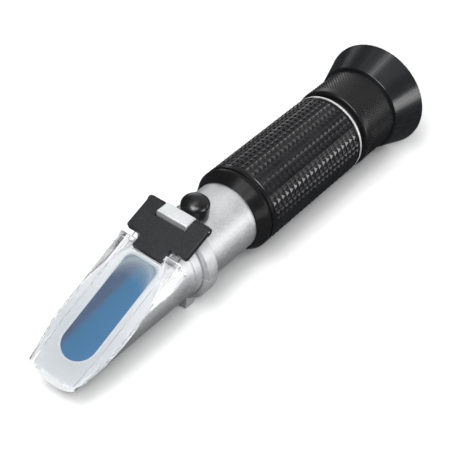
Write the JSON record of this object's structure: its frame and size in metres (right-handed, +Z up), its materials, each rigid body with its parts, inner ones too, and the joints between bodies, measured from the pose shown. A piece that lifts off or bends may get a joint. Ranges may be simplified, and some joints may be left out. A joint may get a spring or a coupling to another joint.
{
  "type": "handheld brix refractometer",
  "caption": "Handheld refractometer: sloping blue prism under a hinged clear cover, bare metal tube, knurled rubber grip, focusing ring and flared eyecup.",
  "frame": {"origin": "on the table, under the middle of the instrument's length and width", "axes": "+X along the barrel from the prism tip to the eyecup, +Z up, the instrument lying on its foot and eyecup"},
  "size_m": [0.1694, 0.039, 0.039],
  "materials": {
    "satin_aluminium": "satin, finely brushed",
    "blue_prism_glass": "polished blue glass",
    "grey_sealant": "matt",
    "black_rubber": "smooth, slightly glossy",
    "grip_rubber": "diamond knurl",
    "brass": "turned",
    "steel": "turned",
    "bimetal": "rolled strip",
    "black_metal": "matt black anodised",
    "lens_glass": "coated lens glass",
    "gloss_black_plastic": "gloss, turned",
    "bright_ring": "bright satin",
    "black_plastic": "fine grained",
    "clear_plastic": "clear, polished"
  },
  "bodies": {
    "barrel": {"head_body": "satin_aluminium", "main_prism": "blue_prism_glass", "prism_seal": "grey_sealant", "head_seal": "black_rubber", "hinge_collar": "satin_aluminium", "foot_collar": "satin_aluminium", "main_tube": "satin_aluminium", "screw_bush": "brass", "strip_block": "black_metal", "strip_screw": "steel", "light_baffle": "black_metal", "reticle_holder": "black_metal", "reticle": "lens_glass", "reticle_ring": "black_metal", "grip_front_ring": "gloss_black_plastic", "rubber_grip": "grip_rubber", "grip_rear_ring": "bright_ring", "eyepiece_seat": "black_metal", "seat_seal": "black_rubber"},
    "cover": {"hinge_flap": "black_plastic", "daylight_plate": "clear_plastic", "hinge_pin": "steel"},
    "eyepiece": {"eyepiece_tube": "black_metal", "eye_lens": "lens_glass", "field_lens": "lens_glass", "lens_spacer": "black_metal", "lens_retainer": "black_metal"},
    "focus": {"focus_ring": "black_plastic", "eyecup": "gloss_black_plastic"},
    "carrier": {"lens_carrier": "black_metal", "objective_lens": "lens_glass", "objective_ring": "black_metal", "bimetal_strip": "bimetal"},
    "screw": {"calibration_screw": "steel"},
    "boot": {"screw_boot": "black_rubber"}
  },
  "joints": [
    {"name": "cover_hinge", "type": "hinge", "parent": "barrel", "child": "cover", "pos_m": [-0.02915, 0, 0.0364], "axis": [0, 1, 0], "range_deg": [0, 120]},
    {"name": "focus_travel", "type": "slide", "parent": "barrel", "child": "eyepiece", "axis": [1, 0, 0], "range_m": [-0.0015, 0.0015]},
    {"name": "focus_turn", "type": "hinge", "parent": "eyepiece", "child": "focus", "pos_m": [0.0643, 0, 0.0195], "axis": [1, 0, 0], "range_deg": [-180, 180]},
    {"name": "calibration_shift", "type": "slide", "parent": "barrel", "child": "carrier", "axis": [0, 0, 1], "range_m": [-0.00035, 0.00035]},
    {"name": "calibration_turn", "type": "hinge", "parent": "carrier", "child": "screw", "pos_m": [-0.02125, 0, 0.0315], "axis": [0, 0, 1], "range_deg": [-360, 360]},
    {"name": "cap_pull", "type": "slide", "parent": "barrel", "child": "boot", "axis": [0, 0, 1], "range_m": [0, 0.012]}
  ],
  "couplings": [
    {"joint": "focus_turn", "follows": "focus_travel", "rad_per_m": 2094},
    {"joint": "calibration_turn", "follows": "calibration_shift", "rad_per_m": 17950}
  ]
}
